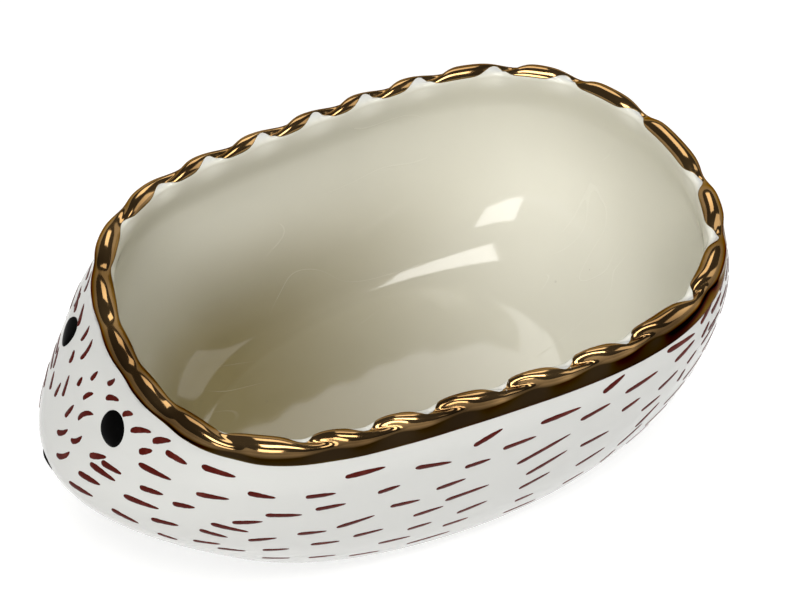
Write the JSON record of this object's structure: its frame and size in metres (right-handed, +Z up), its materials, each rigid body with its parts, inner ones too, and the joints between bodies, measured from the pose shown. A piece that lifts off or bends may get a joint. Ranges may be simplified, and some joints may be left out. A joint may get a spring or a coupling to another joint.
{
  "type": "ring dish",
  "caption": "Hedgehog-shaped ceramic dish with a hollow bowl, a scalloped gilt lip, dark eyes and nose and painted quill strokes, for rings and other small things.",
  "frame": {"origin": "middle of the length and width at the level of the surface the dish stands on", "axes": "+X from the snout to the tail, -X being the way the animal faces; +Y towards the animal's right; +Z up"},
  "size_m": [0.0942, 0.0594, 0.0347],
  "materials": {
    "glaze": "gloss",
    "gilding": "polished",
    "black_enamel": "gloss",
    "brown_enamel": "gloss"
  },
  "bodies": {
    "root": {"dish_body": "glaze", "face_quills": "brown_enamel", "gilt_rim": "gilding", "left_cheek_quills": "brown_enamel", "left_eye": "black_enamel", "left_haunch_quills": "brown_enamel", "left_rump_quills": "brown_enamel", "left_shoulder_quills": "brown_enamel", "nose": "black_enamel", "right_cheek_quills": "brown_enamel", "right_eye": "black_enamel", "right_haunch_quills": "brown_enamel", "right_rump_quills": "brown_enamel", "right_shoulder_quills": "brown_enamel", "tail_quills": "brown_enamel"}
  },
  "joints": []
}
